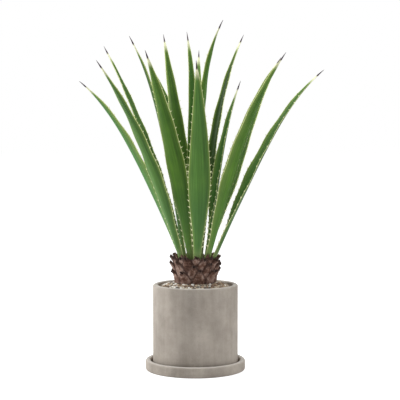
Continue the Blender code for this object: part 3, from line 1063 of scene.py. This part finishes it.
def leaf_material():
    """Green with fine pale veins, yellower towards a cream horny margin, a cream neck and a dark spine, with
    painted light on one side of each blade and painted shade on the other, deeper on the leaves that lie in
    the shade of others.
    """
    made, nodes, links, shader = new_material("agave_leaf")
    place = nodes.new("ShaderNodeTexCoord").outputs["Object"]
    read = read_marks(nodes, "margin", "lane", "run", "tip", "tooth", "tone_and_shade", "blue", "lit_side")
    lanes = nodes.new("ShaderNodeCombineXYZ")
    links.new(read["lane"], lanes.inputs["X"])
    links.new(read["run"], lanes.inputs["Y"])
    along_leaf = lanes.outputs["Vector"]
    streaks = stretched(nodes, links, along_leaf, (3.2, 3, 1))
    vein_lines = stretched(nodes, links, along_leaf, (22, 8, 1))
    fibres = stretched(nodes, links, along_leaf, (70, 14, 1))
    broad = noise(nodes, links, place, 7, 3)
    body = ramp(nodes, *zip(NOISE_SPREAD, (LEAF_DEEP, LEAF_BRIGHT)))
    links.new(broad, body.inputs["Fac"])
    colour = mixed(nodes, links, read["blue"], body.outputs["Color"], LEAF_BLUE)
    colour, _ = mottled(nodes, links, colour, streaks, 1, 0.84, 1.14, 2)
    colour, veins = mottled(nodes, links, colour, vein_lines, 1, 0.80, 1.20)
    colour, fine = mottled(nodes, links, colour, fibres, 1, 0.90, 1.10)
    # painted shade: the leaf's brightness and its darker side multiply the green
    colour = mixed(nodes, links, 1.0, colour, read["tone_and_shade"], "MULTIPLY")
    hook = remapped(nodes, links, read["tooth"], 0.70, 1.0, 0, 0.6)
    colour = layered(
        nodes, links, colour, read,
        # painted light: the lit side of the blade turns paler
        ("lit_side", 0, 1, 0, 0.60, LIT_SIDE_GREEN),
        ("margin", 0.0, 0.007, 0.42, 0, PALE_SIDE),
        ("margin", 0.0004, 0.0012, 0.9, 0, HORN),
        ("run", 0.004, 0.045, 0.55, 0, BLANCHED_FOOT),
        ("run", 0.03, 0.27, 0.26, 0, LOWER_LEAF),
        ("tip", 0.028, 0.056, 1, 0, CREAM_NECK),
        ("tip", 0.020, 0.027, 1, 0, DARK_SPINE),
        ("tooth", 0.001, 0.009, 0, 1, mixed(nodes, links, hook, TOOTH_CREAM, TOOTH_BROWN)),
    )
    links.new(colour, shader.inputs["Base Color"])
    links.new(remapped(nodes, links, veins, *NOISE_SPREAD, 0.50, 0.40), shader.inputs["Roughness"])
    height = joined(nodes, links, "ADD", joined(nodes, links, "MULTIPLY", fine, 0.4), veins)
    bump(nodes, links, shader, height, 0.25, 0.0006)
    shader.inputs["Specular IOR Level"].default_value = 0.15
    return made


leaf_green = leaf_material()
leaf_blank = make_leaf_blank()
tooth = make_tooth()
for number, facts in enumerate(LEAVES, 1):
    leaf = make_leaf(leaf_blank, tooth, number, facts)
    finish_with(leaf, leaf_green)
    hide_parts(f"leaf_{number:02d}")
    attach(leaf, "root")
for helper in (leaf_blank, tooth):
    bpy.data.objects.remove(helper, do_unlink=True)

# ------------------------------------------------------------------------------------------------
# Floor, light and camera
# A wide pale floor under a soft studio: a strong, tall softbox on the left, a weaker one on the right
# and a broad one overhead, in an even white surround. The camera stands level with the leaves.
# ------------------------------------------------------------------------------------------------
FLOOR_SIZE = 60
FLOOR_DROP = 0.0004  # below the saucer's foot
FLOOR_GLOW = 0.64
SURROUND_LEVEL = 0.47
VIEW_DISTANCE = 3.0
VIEW_ANGLE = 19.05
CAMERA_HEIGHT = 0.599
AIM = (0.0116, 0.0, 0.429)


def seen_and_cast(nodes, links, seen, cast):
    """seen for what the camera meets first, and cast for the light that falls on the plant."""
    first_met = nodes.new("ShaderNodeLightPath").outputs["Is Camera Ray"]
    return remapped(nodes, links, first_met, 0.0, 1.0, cast, seen)


floor = start_with(bpy.ops.mesh.primitive_plane_add, size=FLOOR_SIZE, location=(0, 0, -FLOOR_DROP))
floor.name = "studio_floor"
pale, nodes, links, shader = new_material("pale_floor")
shader.inputs["Base Color"].default_value = (0.80, 0.80, 0.80, 1)
shader.inputs["Roughness"].default_value = 0.9
shader.inputs["Emission Color"].default_value = (1, 1, 1, 1)
links.new(seen_and_cast(nodes, links, FLOOR_GLOW, 0.0), shader.inputs["Emission Strength"])
finish_with(floor, pale)

surround = bpy.data.worlds.new("studio_surround")
bpy.context.scene.world = surround
surround.use_nodes = True
nodes, links = surround.node_tree.nodes, surround.node_tree.links
nodes["Background"].inputs["Color"].default_value = (1, 1, 1, 1)
links.new(seen_and_cast(nodes, links, 1.0, SURROUND_LEVEL), nodes["Background"].inputs["Strength"])


def soft_light(name, place, aim, size, watts):
    """A rectangular softbox that faces aim."""
    data = bpy.data.lights.new(name, "AREA")
    data.shape = "RECTANGLE"
    data.size, data.size_y = size
    data.energy = watts
    light = new_object(name, data)
    light.location = place
    light.rotation_euler = (Vector(aim) - Vector(place)).to_track_quat("-Z", "Y").to_euler()


soft_light("left_softbox", (-2.6, 0.55, 1.25), (0, 0, 0.4), (1.1, 2.2), 66)
soft_light("right_softbox", (2.6, 0.6, 1.25), (0, 0, 0.4), (1.0, 2.0), 24)
soft_light("overhead_softbox", (0.0, -0.4, 2.7), (0, 0, 0.3), (2.0, 2.0), 44)

camera_data = bpy.data.cameras.new("camera")
camera_data.sensor_width = 36
camera_data.lens = 18 / math.tan(math.radians(VIEW_ANGLE / 2))
camera = new_object("camera", camera_data)
camera.location = (AIM[0], -VIEW_DISTANCE, CAMERA_HEIGHT)
camera.rotation_euler = (Vector(AIM) - camera.location).to_track_quat("-Z", "Y").to_euler()
bpy.context.scene.camera = camera
bpy.context.scene.view_settings.view_transform = "Standard"
bpy.context.scene.view_settings.look = "None"
